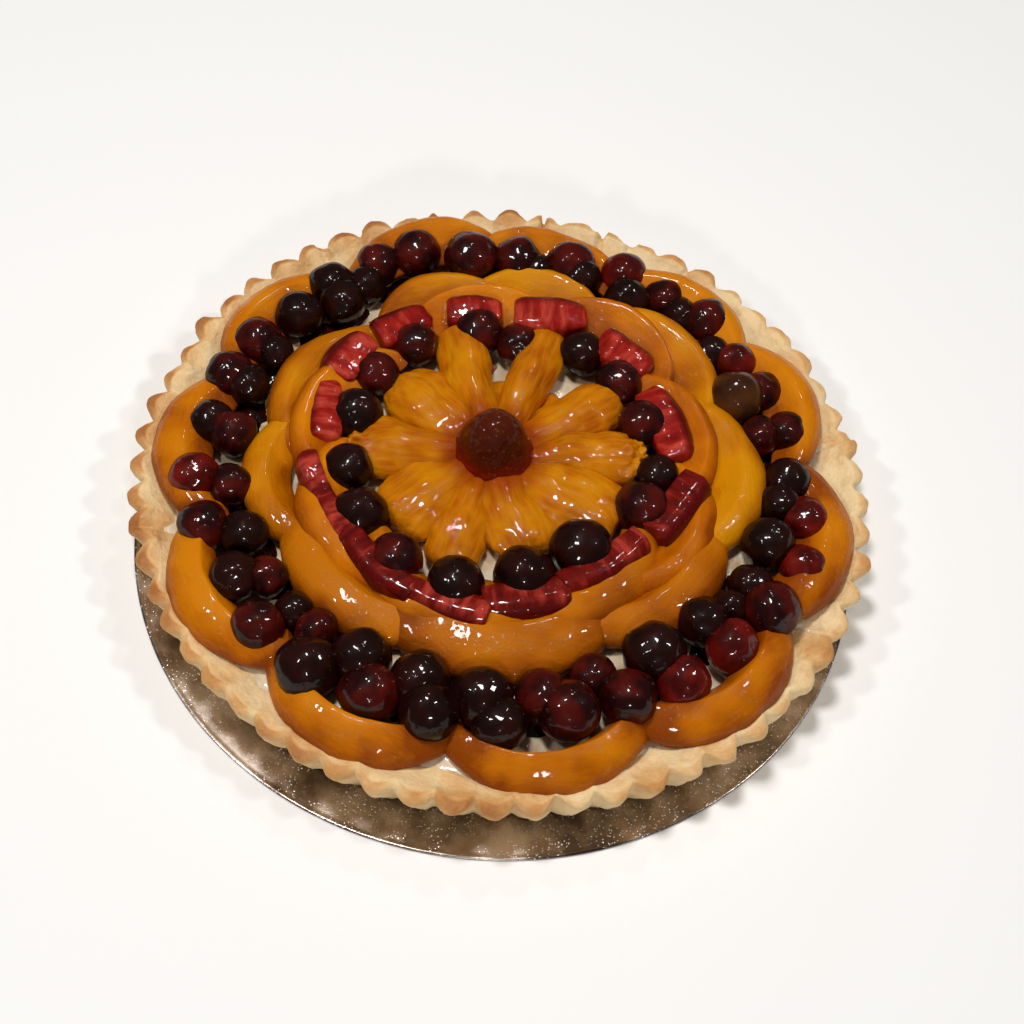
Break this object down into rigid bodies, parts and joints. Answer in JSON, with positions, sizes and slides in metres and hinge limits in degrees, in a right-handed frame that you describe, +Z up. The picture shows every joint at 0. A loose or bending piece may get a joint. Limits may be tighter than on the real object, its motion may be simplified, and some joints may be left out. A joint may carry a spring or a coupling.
{
  "type": "fruit tart",
  "caption": "Round fluted pastry tart filled with cream and topped with rings of glazed peach slices, berries and strawberries around a mandarin rosette, on a flat metal base.",
  "frame": {"origin": "centre of the underside of the metal base disc", "axes": "+Z up through the tart; +Y from the centre of the disc towards the side the tart has slid to; +X to the right"},
  "size_m": [0.2798, 0.2849, 0.054],
  "materials": {
    "plate_metal": "rolled sheet metal, polished by use, smeared with glaze",
    "pastry": "baked shortcrust pastry, dry and slightly grainy, golden at the tips",
    "cream": "soft set pastry cream, slightly moist",
    "peach": "tinned peach flesh under clear glaze",
    "strawberry": "cut strawberry under clear glaze",
    "mandarin": "mandarin segment, juice sacs under clear glaze",
    "berry": "dark berry skin under clear glaze"
  },
  "bodies": {
    "root": {"base_plate": "plate_metal", "berries_inner": "berry", "berries_outer_1": "berry", "berries_outer_2": "berry", "berries_outer_3": "berry", "berries_outer_4": "berry", "mandarin_1": "mandarin", "mandarin_10": "mandarin", "mandarin_2": "mandarin", "mandarin_3": "mandarin", "mandarin_4": "mandarin", "mandarin_5": "mandarin", "mandarin_6": "mandarin", "mandarin_7": "mandarin", "mandarin_8": "mandarin", "mandarin_9": "mandarin", "pastry_cream": "cream", "pastry_crust": "pastry", "peach_lower_1": "peach", "peach_lower_2": "peach", "peach_lower_3": "peach", "peach_lower_4": "peach", "peach_lower_5": "peach", "peach_lower_6": "peach", "peach_lower_7": "peach", "peach_lower_8": "peach", "peach_lower_9": "peach", "peach_outer_1": "peach", "peach_outer_10": "peach", "peach_outer_11": "peach", "peach_outer_2": "peach", "peach_outer_3": "peach", "peach_outer_4": "peach", "peach_outer_5": "peach", "peach_outer_6": "peach", "peach_outer_7": "peach", "peach_outer_8": "peach", "peach_outer_9": "peach", "peach_upper_1": "peach", "peach_upper_2": "peach", "peach_upper_3": "peach", "peach_upper_4": "peach", "peach_upper_5": "peach", "peach_upper_6": "peach", "peach_upper_7": "peach", "peach_upper_8": "peach", "strawberry_centre": "strawberry", "strawberry_piece_1": "strawberry", "strawberry_piece_10": "strawberry", "strawberry_piece_11": "strawberry", "strawberry_piece_12": "strawberry", "strawberry_piece_13": "strawberry", "strawberry_piece_2": "strawberry", "strawberry_piece_3": "strawberry", "strawberry_piece_4": "strawberry", "strawberry_piece_5": "strawberry", "strawberry_piece_6": "strawberry", "strawberry_piece_7": "strawberry", "strawberry_piece_8": "strawberry", "strawberry_piece_9": "strawberry"}
  },
  "joints": []
}
